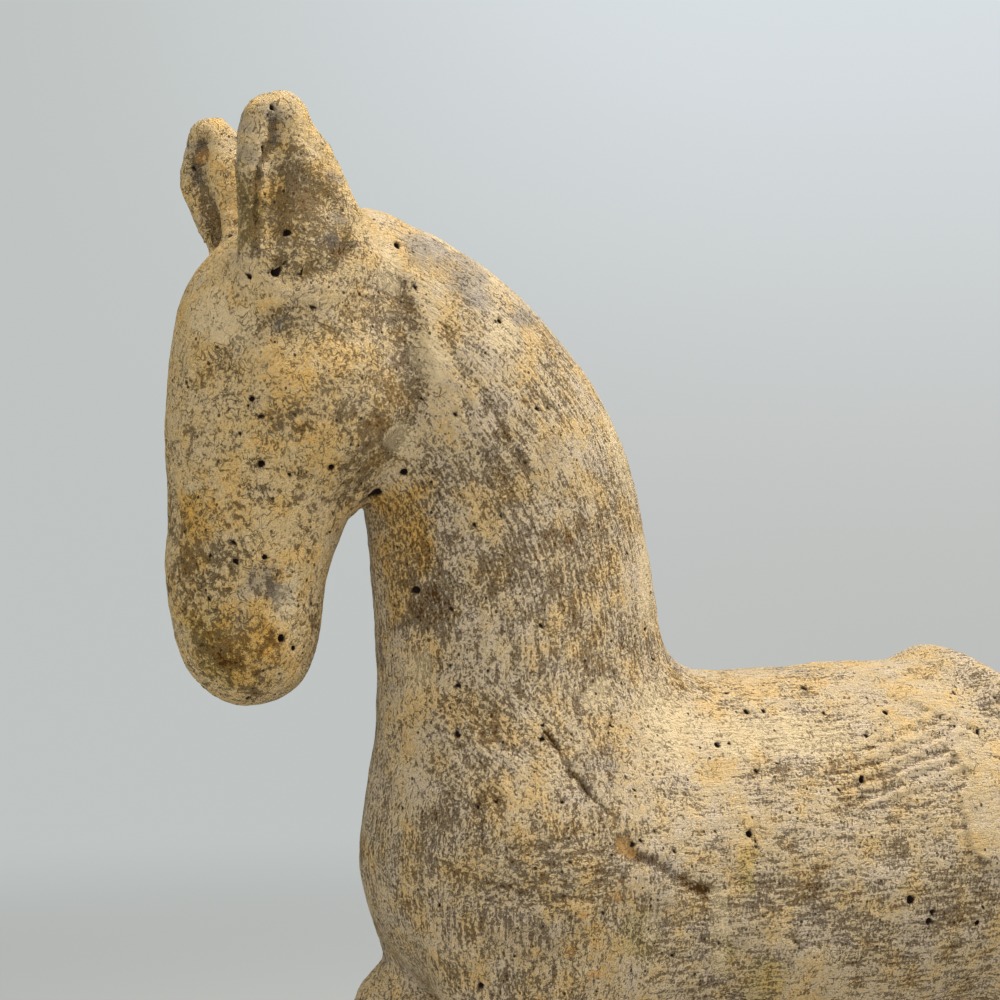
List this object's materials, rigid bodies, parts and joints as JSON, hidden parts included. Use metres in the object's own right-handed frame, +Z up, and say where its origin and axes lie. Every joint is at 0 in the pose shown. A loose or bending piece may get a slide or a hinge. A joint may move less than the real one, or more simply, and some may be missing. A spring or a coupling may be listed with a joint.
{
  "type": "haniwa-style earthenware horse figure",
  "caption": "Standing pottery horse with an arched hogged neck, hanging head, upright ears and a lifted foreleg, on a low slab, in weathered buff clay.",
  "frame": {"origin": "centre of the bounding box, on the underside of the slab", "axes": "+Z up, -X the way the horse faces, -Y the horse's left side"},
  "size_m": [0.3452, 0.1052, 0.4267],
  "materials": {
    "clay": "unglazed, matt, pitted buff slip over grey-brown earthenware"
  },
  "bodies": {
    "root": {"pottery_horse": "clay"}
  },
  "joints": []
}
